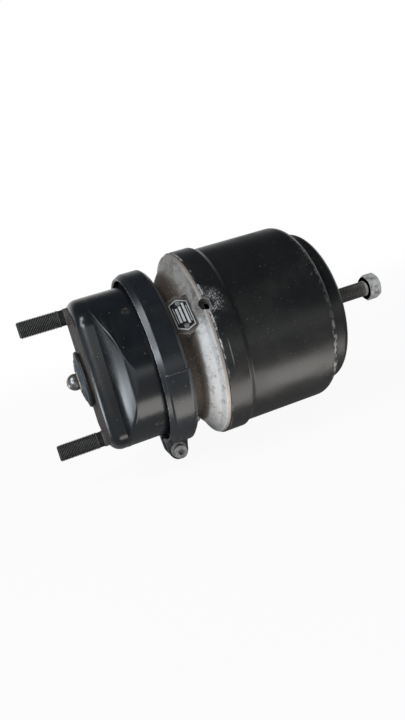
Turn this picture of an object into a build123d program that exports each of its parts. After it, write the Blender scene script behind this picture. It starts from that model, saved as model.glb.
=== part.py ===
from build123d import *
import os
from math import asin, atan2, cos, degrees, pi, radians, sin, sqrt

# Combination air brake cylinder for a disc brake: a service diaphragm chamber in front, a spring
# brake piston behind. Millimetres. The cylinder's axis is X, and the origin is the centre of the
# mounting face. The studs point to -X and lie in the XZ plane, the release bolt points to +X.
# Directions round the axis are degrees from -Y towards +Z, so 0 is -Y, 90 is +Z and -90 is -Z.

# ---- travel and clearances
stroke = 57.0            # pushrod, spring piston and release bolt all travel this far
loose = 0.3              # gap between bodies that pass each other without guiding
running = 0.06           # radial gap of a guided or sealed running fit
snug = 0.05              # radial gap of a piece pushed into its own seat

# ---- mounting studs
stud_pitch = 120.65
stud_r = 8.0             # M16 x 1.5
stud_reach = 46.0        # from the mounting face to the tip
stud_chamfer = 1.5
stud_relief_r = 7.3
stud_relief_length = 6.0
stud_relief_start = 1.5  # plain shank between the face and the thread relief
stud_head_r = 11.5
stud_head_t = 5.5
stud_hole_gap = 0.25

# ---- service housing, a deep-drawn cup
cup_r = 73.2
cup_wall = 2.6
cup_corner_r = 11.3
cup_bend_r = 3.0         # inside radius of the bend from the wall to the clamp flange
flat_half = 45.0         # the cup is flattened on both sides near the face, this far from the axis
flat_corner_r = 14.0     # between a flat and the round wall
flat_end_x = 15.5        # a crease ends the flat
flat_blend_x = 35.0      # here the side has swelled to the full round
flat_blend_steps = 5
face_bore_r = 23.0
clamp_flange_rise = 7.0  # of both clamped flanges over the cup
cup_flange_x = 60.9      # flange face that holds the diaphragm bead
vent_hole_r = 4.3
vent_hole_x = 45.0
vent_hole_angles = (48.0, 138.0, 228.0, 318.0)
open_vent_angle = 228.0  # this hole drains the housing and has no plug

# ---- reinforcing plate behind the face
plate_t = 4.0
plate_bore_r = 26.0
plate_r = 60.5
plate_ear_r = 13.5       # widened round each stud, kept off the corner of the cup

# ---- face seal, gaiter and dust collar
seal_r = 27.5
seal_proud = 5.0
seal_step_r = 25.8
seal_step_x = 2.2
seal_bore_r = 20.0
seal_lip_r = 24.2
seal_lip_t = 2.6
gaiter_t = 1.6
gaiter_mouth_r = 12.6
gaiter_nose_x = -8.2

# ---- pushrod
ball_r = 8.0
ball_x = -11.3
rod_neck_r = 5.6
rod_neck_x = -3.0
rod_r = 11.0
rod_cone_length = 8.0
collar_r = 12.1
collar_nose_x = -8.6
collar_length = 10.0

# ---- push plate and diaphragm
diaphragm_t = 3.2
bead_t = 3.4
bead_inner_margin = 1.0  # the bead starts this far outside the cup's inner wall
push_plate_t = 5.0
push_plate_r = 38.0
push_plate_rim = 7.0     # how far the plate's rolled rim stands forward
push_plate_hub_r = 17.0
push_plate_hub_length = 12.0

# ---- clamp band, bolt, washer and nut
band_rise = 3.8          # outside of the band over the clamped flanges
band_t = 2.9
band_lip_x = 52.1
band_lip_rise = 1.0
band_lip_t = 2.0
band_flat_start_x = 57.2
band_flat_end_x = 74.2
band_flank_top_x = 77.6
band_flank_top_rise = 0.6
band_flank_foot_x = 79.6
band_flank_foot_drop = 9.2
band_flank_t = 2.4
band_saddle_t = 1.3      # extra thickness pressed on both ends of the band
band_saddle_margin = 0.9
band_saddle_from = -3.0
band_gap = 8.0
ear_t = 8.0
ear_x = 62.8
ear_drop = 8.8           # clamp bolt's axis below the band
ear_end_r = 9.6
ear_root_half = 12.5
clamp_bolt_r = 4.0       # M8
clamp_head_r = 6.5
clamp_head_t = 8.0
clamp_socket_af = 6.0
clamp_socket_depth = 4.5
clamp_washer_r = 8.0
clamp_washer_t = 1.6
clamp_nut_af = 13.0
clamp_nut_t = 7.5
clamp_bolt_tail = 3.0

# ---- flange housing, an aluminium casting
neck_drop = 5.0          # neck inside the cup's inner wall
neck_x = 85.0
rim_inset = 1.4          # rim of the casting inside the ridge of the spring housing
rim_x = 107.3            # the spring housing's edge stands here
rim_t = 3.2
spigot_gap = 0.1         # radial gap of the spigot in the ridge
spigot_short = 1.0       # the spigot ends this far before the ridge narrows
pocket_wall = 8.3        # of the spigot
pocket_floor_x = 112.0
web_rear_x = 100.0
web_slope = 20.0         # web narrows by this from the wall of the pocket
flare_x = 97.2
flare_share = 11.8 / 24  # of the way from the neck to the rim
flare_end_share = 17 / 24
dish_mouth_drop = 1.0    # mouth of the dish inside the cup's inner wall
dish_floor_r = 47.0
dish_floor_x = 88.0
hub_r = 26.0
hub_end_x = 124.0
ring_groove_x = 115.0
ring_groove_width = 4.6
ring_groove_depth = 3.6
wire_x = 123.5
wire_r = 1.6
port_r = 7.25            # tapping size of M16 x 1.5
port_depth = 15.0
port_boss_r = 12.4
port_boss_proud = 1.4    # port faces stand this far outside the rim
port_x = 94.8
service_port_angle = 150.0
spring_port_angle = 205.0
port_passage_r = 3.0
pocket_hole_angle = 29.4 # assembly hole for the locking wire
pocket_hole_x = 107.0
pocket_hole_r = 5.6
pocket_hole_depth = 13.0
pocket_pilot_r = 2.5
pocket_pilot_depth = 4.0
pocket_boss_r = 9.2
notch_r = 7.2            # matching cut-out in the edge of the spring housing

# ---- name plate, rivets and bleed screw
tag_angle = 32.0
tag_x = 89.6
tag_half_width = 8.6
tag_half_length = 15.4
tag_point = 3.6          # length of the pointed ends
tag_t = 0.9
tag_pad_rise = 6.0       # of the plate's seat over the neck
tag_side_margin = 1.0    # pad beside the plate
tag_end_margin = 4.0     # pad beyond the points of the plate
rivet_r = 1.6
rivet_head_r = 2.3
rivet_head_t = 0.9
rivet_offset = 11.4
bleed_x = 86.4
bleed_y = -20.0
bleed_z = -66.8
bleed_r = 3.1
bleed_boss_r = 4.4
bleed_length = 14.0

# ---- spring housing, a deep-drawn can
can_wall = 2.6
can_ridge_rise = 3.2
can_ridge_end_x = 127.6
can_foot_x = 132.4
can_r = 87.8
can_end_x = 221.6
can_shoulder_r = 10.2
dome_step = 11.4         # dome inside the can's side
dome_x = 231.5
dome_depth = 18.0
dish_r = 26.0            # recess that takes the head of the release bolt
dish_floor_bolt_r = 21.0

# ---- release bolt, its nut, thrust washer, stop nut and pin
bolt_r = 8.0             # M16 x 2
bolt_af = 24.0
bolt_head_x = 304.4      # underside of the head, bolt wound out
bolt_head_t = 13.2
bolt_head_chamfer = 1.4
bolt_end_x = 158.0
release_nut_r = 13.0
release_nut_flange_r = 18.5
release_nut_flange_t = 5.0
release_nut_proud = 1.2  # stands above the floor of the recess
stop_nut_r = 11.2
stop_nut_t = 11.0
stop_nut_x = 162.0
stop_pin_r = 2.0
thrust_washer_r = 12.4
thrust_washer_t = 2.5

# ---- spring piston, its tube, seal, guide ring, cap and retainer
piston_plate_x = 169.0
piston_plate_t = 5.0
piston_wall_step = 7.2   # wall of the piston inside the can's bore
piston_wall_t = 4.0
piston_skirt_x = 190.0
piston_skirt_length = 19.0
piston_skirt_gap = 1.6   # radial gap of the aluminium to the can
piston_hub_rise = 17.0   # the middle of the plate stands back over the flange hub
piston_hub_r = 29.5
seal_groove_x = 3.0
seal_groove_width = 6.0
guide_groove_x = 12.0
guide_groove_width = 4.5
groove_depth = 4.0
tube_r = 16.0
tube_bore_r = 13.0
tube_cap_t = 3.2
tube_cap_plug = 9.0
retainer_t = 6.0
retainer_bore_r = 8.6
bush_t = 1.9
bush_width = 9.0
bush_x = 91.5
tube_seal_width = 4.2
tube_seal_t = 3.6
tube_seal_x = (105.0, 114.5)

# ---- springs
return_wire_r = 2.0
return_front_r = 37.6
return_rear_r = 24.0
return_turns = 4.5
power_wire_r = 6.4
power_spring_gap = 1.1   # coils to the wall of the piston
power_spring_taper = 6.0
power_turns = 3.5

# ---- values that follow from the ones above
cup_inner_r = cup_r - cup_wall
clamp_flange_r = cup_r + clamp_flange_rise
bead_inner_r = cup_inner_r + bead_inner_margin
band_r = clamp_flange_r + band_rise
band_lip_r = clamp_flange_r + band_lip_rise
band_flank_top = (band_flank_top_x, clamp_flange_r + band_flank_top_rise)
band_flank_foot = (band_flank_foot_x, clamp_flange_r - band_flank_foot_drop)
ear_z = -band_r - ear_drop
neck_r = cup_inner_r - neck_drop
dish_mouth_r = cup_inner_r - dish_mouth_drop
head_x = cup_wall + plate_t
clamp_face_x = cup_flange_x + bead_t               # front face of the flange housing
diaphragm_rest_x = dish_floor_x - loose - diaphragm_t
push_plate_x = diaphragm_rest_x - loose - push_plate_t
dome_apex_x = dome_x + dome_depth
dish_floor = bolt_head_x - stroke - loose - release_nut_proud
spigot_end_x = can_ridge_end_x - spigot_short
can_bore_r = can_r - can_wall
can_ridge_r = can_r + can_ridge_rise
dome_r = can_r - dome_step
rim_r = can_ridge_r - rim_inset
spigot_r = can_ridge_r - can_wall - spigot_gap
pocket_r = spigot_r - pocket_wall
flare_r = neck_r + (rim_r - neck_r) * flare_share
flare_end_r = neck_r + (rim_r - neck_r) * flare_end_share
port_boss_reach = rim_r + port_boss_proud
tag_seat = neck_r + tag_pad_rise
piston_r = can_bore_r - piston_skirt_gap
piston_wall_r = can_bore_r - piston_wall_step
power_front_r = piston_wall_r - piston_wall_t - power_wire_r - power_spring_gap
power_rear_r = power_front_r - power_spring_taper
tube_front_x = dish_floor_x + tube_cap_t
tube_rear_x = piston_plate_x + piston_hub_rise + piston_plate_t + 3.0
thrust_washer_x = stop_nut_x + stop_nut_t
retainer_x = thrust_washer_x + thrust_washer_t + loose
band_bore_r = band_r - band_t


def turned(*outline, arc=360):
    """Solid of revolution about X. A point of the outline is (x, r) or (x, r, corner radius)."""
    face = make_face(Polyline(*[point[:2] for point in outline], close=True))
    for point in outline:
        if len(point) == 3:
            corner = face.vertices().sort_by_distance(Vector(point[0], point[1]))[0]
            face = fillet(corner, point[2])
    return revolve(Plane.XZ * face, Axis.X, arc)


def ring(x0, x1, r0, r1):
    """Plain ring from x0 to x1 between two radii."""
    return turned((x0, r0), (x1, r0), (x1, r1), (x0, r1))


def rod(x0, x1, r):
    """Plain cylinder on the axis."""
    return Plane.YZ.offset(x0) * extrude(Circle(r), x1 - x0)


def swung(shape, angle):
    """Turns a shape that was made on the +Z side to its direction round the axis."""
    return Rot(90 - angle, 0, 0) * shape


def radial_pin(x, r, inner, outer, angle):
    """Cylinder that points straight out from the axis."""
    return swung(Pos(x, 0, inner) * extrude(Circle(r), outer - inner), angle)


def slanted_hole(start, end, r, angle):
    """Drilled passage between two points (x, distance from the axis) of one plane."""
    line = Vector(end[0] - start[0], 0, end[1] - start[1])
    hole = Plane(origin=(start[0], 0, start[1]), z_dir=line) * extrude(Circle(r), line.length)
    return swung(hole, angle)


def stud_places():
    return [Pos(0, 0, side * stud_pitch / 2) for side in (1, -1)]


# ---- service chamber

def flattened(x, half, r, corner):
    """Face across the axis: a circle flattened on both sides, or split the same way if round."""
    if half < r:
        centre = Vector(half - corner, sqrt((r - corner) ** 2 - (half - corner) ** 2))
        turn = atan2(centre.Y, centre.X)
        start = Vector(half, centre.Y)
        middle = centre + Vector(cos(turn / 2), sin(turn / 2)) * corner
        end = Vector(cos(turn), sin(turn)) * r
    else:
        start, middle, end = (Vector(cos(radians(a)), sin(radians(a))) * r for a in (5, 10, 15))

    def at(point, y_side, z_side):
        return point.X * y_side, point.Y * z_side

    edges = []
    for y_side, z_side in ((1, 1), (-1, -1)):
        low, high = at(start, y_side, -z_side), at(start, y_side, z_side)
        side = Line(low, high) if half < r else ThreePointArc(low, (r * y_side, 0), high)
        edges += [
            side,
            ThreePointArc(high, at(middle, y_side, z_side), at(end, y_side, z_side)),
            ThreePointArc(at(end, y_side, z_side), (0, r * z_side), at(end, -y_side, z_side)),
            ThreePointArc(at(end, -y_side, z_side), at(middle, -y_side, z_side),
                          at(start, -y_side, z_side)),
        ]
    return Plane(origin=(x, 0, 0), x_dir=(0, 1, 0), z_dir=(1, 0, 0)) * make_face(edges)


def cup_front(inset):
    """Flattened front of the cup with its swelling sides, or its inside when drawn smaller."""
    half, r, corner = flat_half - inset, cup_r - inset, flat_corner_r - inset
    front = extrude(flattened(inset, half, r, corner), flat_end_x - inset)
    front = fillet(front.edges().group_by(Axis.X)[0], cup_corner_r - inset)
    sections = []
    for step in range(flat_blend_steps + 1):
        t = step / flat_blend_steps
        x = flat_end_x + (flat_blend_x - flat_end_x) * t
        swelled = half + (r - half) * sin(pi / 2 * t) if t < 1 else r
        sections.append(flattened(x, swelled, r, corner))
    return front + loft(sections)


def service_housing():
    """Drawn cup with its mounting face, clamp flange, stud holes and vent holes."""
    back = cup_flange_x - cup_wall
    cup = turned(
        (flat_blend_x, cup_inner_r),
        (flat_blend_x, cup_r),
        (back, cup_r, cup_bend_r),
        (back, clamp_flange_r, 0.8),
        (cup_flange_x, clamp_flange_r, 0.8),
        (cup_flange_x, cup_inner_r, cup_bend_r + cup_wall / 2),
    )
    cup += cup_front(0) - cup_front(cup_wall)
    cup -= rod(-1, head_x, face_bore_r)
    for place in stud_places():
        cup -= place * rod(-1, head_x, stud_r + stud_hole_gap)
    for angle in vent_hole_angles:
        cup -= radial_pin(vent_hole_x, vent_hole_r, cup_inner_r - 2, cup_r + 2, angle)
    return cup


def stud_plate():
    """Reinforcing plate that spreads the stud load behind the mounting face."""
    plate = rod(cup_wall, head_x, plate_r)
    for place in stud_places():
        plate += place * rod(cup_wall, head_x, plate_ear_r)
    bed = flattened(cup_wall, flat_half - cup_corner_r, cup_r - cup_corner_r,
                    flat_corner_r - cup_corner_r)
    plate = plate & extrude(bed, plate_t)
    plate -= rod(cup_wall - 1, head_x + 1, plate_bore_r)
    for place in stud_places():
        plate -= place * rod(cup_wall - 1, head_x + 1, stud_r + stud_hole_gap)
    return plate


def mounting_studs():
    """Two studs with trimmed round heads against the reinforcing plate."""
    relief_end = -stud_relief_start - stud_relief_length
    stud = turned(
        (-stud_reach, 0),
        (-stud_reach, stud_r - stud_chamfer),
        (stud_chamfer - stud_reach, stud_r),
        (relief_end - 1, stud_r),
        (relief_end, stud_relief_r),
        (-stud_relief_start - 1, stud_relief_r),
        (-stud_relief_start, stud_r),
        (head_x, stud_r),
        (head_x, stud_head_r),
        (head_x + stud_head_t, stud_head_r - 1),
        (head_x + stud_head_t, 0),
    )
    room = rod(-stud_reach - 1, head_x + stud_head_t + 1, cup_inner_r - 1.5)
    return Compound([place * stud & room for place in stud_places()])


def face_seal():
    """Rubber ring that seals the face to the caliper, snapped into the housing's bore."""
    groove_r = face_bore_r - snug
    return turned(
        (-seal_proud, seal_bore_r),
        (-seal_proud, seal_r - 1.2, 0.6),
        (-seal_step_x - 0.5, seal_r, 0.6),
        (-seal_step_x, seal_step_r),
        (-0.8, seal_step_r),
        (0, seal_r - 0.5),
        (0, groove_r),
        (cup_wall, groove_r),
        (cup_wall, seal_lip_r),
        (cup_wall + seal_lip_t, seal_lip_r - 1.0),
        (cup_wall + seal_lip_t, seal_bore_r),
    )


def pushrod_gaiter():
    """Thin cone of rubber from the face seal to the collar on the pushrod."""
    base = -seal_proud
    return turned(
        (base, seal_r - 2.0),
        (base - 0.9, seal_r - 2.6),
        (gaiter_nose_x, gaiter_mouth_r),
        (gaiter_nose_x + gaiter_t, gaiter_mouth_r),
        (base, seal_bore_r + 0.5),
    )


def vent_plugs():
    """Push-in plastic plugs in all vent holes but the lowest one."""
    plugs = []
    for angle in vent_hole_angles:
        if angle != open_vent_angle:
            stem = radial_pin(vent_hole_x, vent_hole_r - snug, cup_inner_r - 1.5, cup_r - 0.2, angle)
            barb = radial_pin(vent_hole_x, vent_hole_r + 0.8, cup_inner_r - 3.0, cup_inner_r - 1.4, angle)
            plugs.append(stem + barb)
    return Compound(plugs)


def diaphragm():
    """Rubber diaphragm with its clamped bead, pushed back against the flange housing."""
    half = diaphragm_t
    return turned(
        (cup_flange_x, bead_inner_r),
        (cup_flange_x, clamp_flange_r - 0.4),
        (clamp_face_x, clamp_flange_r - 0.4),
        (clamp_face_x, dish_mouth_r - 1.8, 2.0),
        (diaphragm_rest_x + half, dish_floor_r - 2.2, 4.0),
        (diaphragm_rest_x + half, 0),
        (diaphragm_rest_x, 0),
        (diaphragm_rest_x, dish_floor_r - 4.6, 4.0),
        (clamp_face_x, dish_mouth_r - 4.6, 2.0),
    )


def push_plate():
    """Pressed plate with a rolled rim and a hub that holds the pushrod."""
    rear = push_plate_x + push_plate_t
    plate = turned(
        (push_plate_x, rod_r + snug),
        (push_plate_x - push_plate_hub_length, rod_r + snug),
        (push_plate_x - push_plate_hub_length, push_plate_hub_r - 2),
        (push_plate_x, push_plate_hub_r, 2.0),
        (push_plate_x, push_plate_r - 4.0, 2.0),
        (push_plate_x - push_plate_rim + push_plate_t, push_plate_r - 1.6, 1.0),
        (push_plate_x - push_plate_rim + push_plate_t, push_plate_r),
        (rear, push_plate_r - 1.0, 3.0),
        (rear, 0),
        (rear - 2.0, 0),
        (rear - 2.0, rod_r + snug),
    )
    return plate


def pushrod():
    """Turned rod with a ball end that works in the brake lever's socket."""
    rear = push_plate_x + push_plate_t - 2.0
    shank = turned(
        (ball_x, 0),
        (ball_x, rod_neck_r),
        (rod_neck_x, rod_neck_r),
        (rod_neck_x + rod_cone_length, rod_r, 3.0),
        (rear, rod_r),
        (rear, 0),
    )
    return shank + Pos(ball_x, 0, 0) * Sphere(ball_r)


def dust_collar():
    """Plastic collar behind the ball, which carries the inner edge of the gaiter."""
    rear = collar_nose_x + collar_length
    nose_from_ball = collar_nose_x - ball_x
    nose_bore_r = sqrt(ball_r ** 2 - nose_from_ball ** 2) + 0.4
    neck_start_x = ball_x + sqrt(ball_r ** 2 - rod_neck_r ** 2)
    cone_r = rod_neck_r + (rod_r - rod_neck_r) * (rear - rod_neck_x) / rod_cone_length
    return turned(
        (collar_nose_x, nose_bore_r),
        (collar_nose_x, nose_bore_r + 0.8),
        (collar_nose_x + 3.6, collar_r),
        (rear, collar_r),
        (rear, cone_r + 2 * snug),
        (rod_neck_x, rod_neck_r + snug),
        (neck_start_x + 0.4, rod_neck_r + snug),
    )


def helix_spring(x0, x1, r0, r1, wire_r, turns):
    """Compression spring from x0 to x1, with a mean radius that goes from r0 to r1."""
    height = x1 - x0 - 2 * wire_r
    cone = degrees(asin((r1 - r0) / sqrt(height ** 2 + (r1 - r0) ** 2)))
    path = Helix(pitch=height / turns, height=height, radius=r0, cone_angle=cone)
    section = Plane(origin=path @ 0, z_dir=path % 0) * Circle(wire_r)
    coil = sweep(section, path=path, is_frenet=True)
    return Pos(x0 + wire_r, 0, 0) * Rot(0, 90, 0) * coil


def return_spring():
    """Conical spring that pushes the push plate back."""
    return helix_spring(
        head_x + loose, push_plate_x - loose, return_front_r, return_rear_r, return_wire_r, return_turns
    )


# ---- clamp band

def clamp_band():
    """Pressed band over both flanges, split below, with saddles and ears at its ends."""
    band = turned(
        (band_lip_x, band_lip_r),
        (band_flat_start_x, band_r, 2.5),
        (band_flat_end_x, band_r, 3.0),
        (band_flank_top[0], band_flank_top[1], 1.5),
        band_flank_foot,
        (band_flank_foot[0] - band_flank_t, band_flank_foot[1] - 0.4),
        (band_flank_top[0] - band_flank_t, band_flank_top[1] - 1.6),
        (band_flat_end_x - 0.6, band_bore_r),
        (band_flat_start_x + 0.8, band_bore_r),
        (band_lip_x + 0.9, band_lip_r - band_lip_t),
    )
    outer = band_r + band_saddle_t
    saddle_outline = (
        (band_lip_x + 0.4 + band_saddle_margin, band_lip_r - 0.6),
        (band_flat_start_x, outer, 2.5),
        (band_flat_end_x + band_saddle_margin, outer, 3.0),
        (band_flank_top[0] + 1.2, band_flank_top[1]),
        (band_flank_foot[0] + 0.8, band_flank_foot[1] + 3.0),
        (band_flank_foot[0] - 1.0, band_flank_foot[1] + 2.0),
        (band_flank_top[0] - 1.2, band_flank_top[1] - 1.0),
        (band_flat_end_x, band_r - 1.0),
        (band_flat_start_x, band_r - 1.0),
    )
    saddle_arc = band_saddle_from + 90 - 2
    saddle = turned(*saddle_outline, arc=saddle_arc)
    band += swung(saddle, band_saddle_from)
    band += swung(saddle, 180 - band_saddle_from + saddle_arc)
    for side in (-1, 1):
        band += clamp_ear(side)
    gap_height = ear_end_r - ear_z
    band -= Pos((band_lip_x + band_flank_foot[0]) / 2, 0, -gap_height / 2 - 30) * Box(
        60, band_gap, gap_height
    )
    return band - Pos(ear_x, 0, ear_z) * Rot(90, 0, 0) * Cylinder(clamp_bolt_r + 0.4, 60)


def clamp_ear(side):
    """Ear on one side of the split, from the band's outer face down to its round end."""
    root_z = -band_r + 3.0
    flat = make_face(
        Polyline(
            (ear_x - ear_root_half + 2, root_z),
            (ear_x + ear_root_half, root_z),
            (ear_x + ear_end_r, ear_z),
            (ear_x - ear_end_r, ear_z),
            close=True,
        )
    ) + Pos(ear_x, ear_z) * Circle(ear_end_r)
    start = side * band_gap / 2
    return Plane.XZ.offset(-start) * extrude(flat, -side * ear_t)


def hexagon(across_flats):
    return RegularPolygon(across_flats / sqrt(3), 6, major_radius=True)


def across(y, shape):
    """Puts a shape made on the XY plane on the clamp bolt's axis, pointing to +Y from y."""
    return Pos(ear_x, y, ear_z) * Rot(-90, 0, 0) * shape


def clamp_bolt():
    """Socket head screw that draws the two ears together."""
    head_y = -band_gap / 2 - ear_t - clamp_washer_t - clamp_head_t
    tail = band_gap / 2 + ear_t + clamp_nut_t + clamp_bolt_tail
    head = chamfer(extrude(Circle(clamp_head_r), clamp_head_t).edges().group_by(Axis.Z)[0], 0.6)
    socket = extrude(hexagon(clamp_socket_af), clamp_socket_depth)
    shank = Pos(0, 0, clamp_head_t) * extrude(Circle(clamp_bolt_r), tail - head_y - clamp_head_t)
    return across(head_y, head - socket + shank)


def clamp_washer():
    y = -band_gap / 2 - ear_t - clamp_washer_t
    washer = extrude(Circle(clamp_washer_r) - Circle(clamp_bolt_r + 0.2), clamp_washer_t)
    return across(y, washer)


def clamp_nut():
    nut = extrude(hexagon(clamp_nut_af) - Circle(clamp_bolt_r + snug), clamp_nut_t)
    return across(band_gap / 2 + ear_t, nut)


# ---- flange housing

def flange_profile():
    """Turned blank of the casting: clamp flange, neck, flare, rim, spigot, web and hub."""
    flank_gap = 0.4
    return turned(
        (clamp_face_x, dish_mouth_r, 2.0),
        (clamp_face_x, clamp_flange_r, 0.8),
        (band_flat_end_x - 1.6, clamp_flange_r, 1.0),
        (band_flank_top[0] - band_flank_t - flank_gap, band_flank_top[1] - 1.9),
        (band_flank_foot[0] - band_flank_t - flank_gap, band_flank_foot[1] - 0.6, 2.0),
        (neck_x, neck_r, 6.0),
        (neck_x + 4.4, neck_r + 1.4, 4.0),
        (flare_x, flare_r, 9.0),
        (rim_x - rim_t - 2.2, flare_end_r, 3.0),
        (rim_x - rim_t, rim_r - 0.6, 1.0),
        (rim_x - rim_t + 1.2, rim_r, 0.6),
        (rim_x, rim_r),
        (rim_x, spigot_r),
        (spigot_end_x, spigot_r, 0.8),
        (spigot_end_x, pocket_r),
        (pocket_floor_x, pocket_r),
        (pocket_floor_x - 4.0, pocket_r - 6.0, 3.0),
        (web_rear_x, pocket_r - web_slope, 6.0),
        (web_rear_x, hub_r, 3.0),
        (hub_end_x, hub_r, 1.5),
        (hub_end_x, tube_r + loose),
        (dish_floor_x, tube_r + loose),
        (dish_floor_x, dish_floor_r, 5.0),
    )


def flange_housing():
    """Aluminium casting between the two chambers, with both air ports on the far side."""
    body = flange_profile()
    for angle in (service_port_angle, spring_port_angle):
        boss = radial_pin(port_x, port_boss_r, neck_r - 8, port_boss_reach, angle)
        body += boss - rod(dish_floor_x - 40, spigot_end_x, neck_r - 8)
    body += tag_pad()
    body += pocket_boss()
    body += Pos(bleed_x, bleed_y + 2, bleed_z) * Rot(-90, 0, 0) * extrude(
        Circle(bleed_boss_r), bleed_length
    )
    body = body - flange_cuts()
    return body


def tag_outline(side_margin=0, end_margin=0):
    """Elongated hexagon of the name plate, long way across the axis."""
    half_w = tag_half_width + side_margin
    half_l = tag_half_length + end_margin
    shoulder = half_l - tag_point
    return make_face(
        Polyline(
            (half_w, -shoulder), (half_w, shoulder), (0, half_l),
            (-half_w, shoulder), (-half_w, -shoulder), (0, -half_l),
            close=True,
        )
    )


def on_tag(height, shape):
    """Puts a flat shape on the name plate's seat, at a height above it."""
    return swung(Pos(tag_x, 0, tag_seat + height) * shape, tag_angle)


def tag_pad():
    return on_tag(-10, extrude(tag_outline(tag_side_margin, tag_end_margin), 10))


def pocket_boss():
    boss = radial_pin(
        pocket_hole_x - 1.5, pocket_boss_r, rim_r - 14, rim_r - 0.9, pocket_hole_angle
    )
    return boss & ring(neck_x, rim_x, rim_r - 13, rim_r + 4)


def flange_cuts():
    """All that is machined out of the casting."""
    cuts = on_tag(0, extrude(tag_outline(tag_side_margin, tag_end_margin), 12))
    for angle in (service_port_angle, spring_port_angle):
        floor = port_boss_reach - port_depth
        cuts += radial_pin(port_x, port_r, floor, port_boss_reach + 2, angle)
    port_floor = port_boss_reach - port_depth + 1
    cuts += slanted_hole((port_x - 2, port_floor), (dish_floor_x - 6, dish_floor_r), port_passage_r,
                         service_port_angle)
    cuts += slanted_hole((port_x + 1, port_floor), (pocket_floor_x - 3, port_floor - 10),
                         port_passage_r, spring_port_angle)
    depth = rim_r - pocket_hole_depth
    cuts += radial_pin(pocket_hole_x, pocket_hole_r, depth, rim_r + 4, pocket_hole_angle)
    cuts += radial_pin(pocket_hole_x, pocket_pilot_r, depth - pocket_pilot_depth, depth + 1,
                       pocket_hole_angle)
    half = ring_groove_width / 2
    cuts += ring(ring_groove_x - half, ring_groove_x + half, spigot_r - ring_groove_depth, spigot_r + 2)
    cuts += wire_seat(snug)
    cuts += ring(bush_x, bush_x + bush_width, tube_r, tube_r + running + bush_t + snug)
    for x in tube_seal_x:
        cuts += ring(x, x + tube_seal_width, tube_r, tube_r + running + tube_seal_t + snug)
    cuts += Pos(bleed_x, bleed_y, bleed_z) * Rot(-90, 0, 0) * extrude(
        Circle(bleed_r + snug), bleed_length - 2
    )
    for side in (1, -1):
        cuts += on_tag(-4, Pos(0, side * rivet_offset) * extrude(Circle(rivet_r + snug), 6))
    return cuts


def wire_seat(gap):
    """Ring of round section, half in the spigot and half in the spring housing."""
    section = Pos(wire_x, spigot_r + loose / 2) * Circle(wire_r + gap)
    return revolve(Plane.XZ * section, Axis.X, 360)


def name_plate():
    """Bare stamped plate, held by two rivets."""
    plate = on_tag(0, extrude(tag_outline(), tag_t))
    for side in (1, -1):
        plate -= on_tag(-1, Pos(0, side * rivet_offset) * extrude(Circle(rivet_r + snug), tag_t + 2))
    return plate


def plate_rivets():
    pin = Pos(0, 0, -4) * extrude(Circle(rivet_r), 4 + tag_t)
    head = Pos(0, 0, tag_t) * extrude(Circle(rivet_head_r), rivet_head_t)
    rivet = fillet((pin + head).edges().group_by(Axis.Z)[-1], rivet_head_t * 0.8)
    return Compound([on_tag(0, Pos(0, side * rivet_offset) * rivet) for side in (1, -1)])


def bleed_screw():
    """Slotted plug in the small boss under the neck."""
    screw = extrude(Circle(bleed_r), bleed_length - 2.5)
    screw = chamfer(screw.edges().group_by(Axis.Z)[0], 0.5) - Box(0.9, 9, 2.4)
    return Pos(bleed_x, bleed_y, bleed_z) * Rot(-90, 0, 0) * screw


def housing_seal():
    """O-ring between the spigot and the spring housing, drawn to its squeezed section."""
    half = ring_groove_width / 2 - 0.4
    return ring(ring_groove_x - half, ring_groove_x + half,
                spigot_r - ring_groove_depth + snug, can_ridge_r - can_wall - snug)


def lock_wire():
    """Round wire that locks the spring housing to the spigot, open for fitting."""
    wire = wire_seat(0)
    return wire - swung(Pos(wire_x, 0, spigot_r) * Box(8, 9, 8), pocket_hole_angle)


def tube_bush():
    return ring(bush_x + snug, bush_x + bush_width - snug, tube_r + running,
                tube_r + running + bush_t)


def tube_seals():
    return Compound([
        ring(x + snug, x + tube_seal_width - snug, tube_r + running, tube_r + running + tube_seal_t)
        for x in tube_seal_x
    ])


# ---- spring housing

def can_blank(inset):
    """Outside of the can, or its inside when drawn smaller by the wall."""
    front = rim_x if inset == 0 else rim_x - 1
    body = turned(
        (front, 0),
        (front, can_ridge_r - inset, 1.0) if inset == 0 else (front, can_ridge_r - inset),
        (can_ridge_end_x, can_ridge_r - inset, 3.0),
        (can_foot_x, can_r - inset, 3.0),
        (can_end_x - inset, can_r - inset, can_shoulder_r - inset),
        (can_end_x - inset, 0),
    )
    half = Pos(dome_x, 0) * Ellipse(dome_depth - inset, dome_r - inset)
    half = half & Pos(dome_x + 50, 50) * Rectangle(100, 100)
    step = rod(can_end_x - can_shoulder_r, dome_x, dome_r - inset)
    return body + step + revolve(Plane.XZ * half, Axis.X, 360)


def head_dish(grow):
    """Recess in the dome, or the skin behind it when drawn larger by the wall."""
    return turned(
        (dish_floor - grow, 0),
        (dish_floor - grow, dish_floor_bolt_r + grow, 4.0 + grow / 2),
        (dome_apex_x + 2, dish_r + 1.0 + grow),
        (dome_apex_x + 2, 0),
    )


def spring_housing():
    """Drawn can with an expanded rim, a domed end and a recess for the release bolt's head."""
    can = can_blank(0) - (can_blank(can_wall) - head_dish(can_wall)) - head_dish(0)
    can -= rod(dish_floor - 10, dish_floor + 10, release_nut_r + snug)
    can -= wire_seat(snug)
    can -= radial_pin(pocket_hole_x, notch_r, rim_r - 20, can_ridge_r + 5, pocket_hole_angle)
    return can


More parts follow.
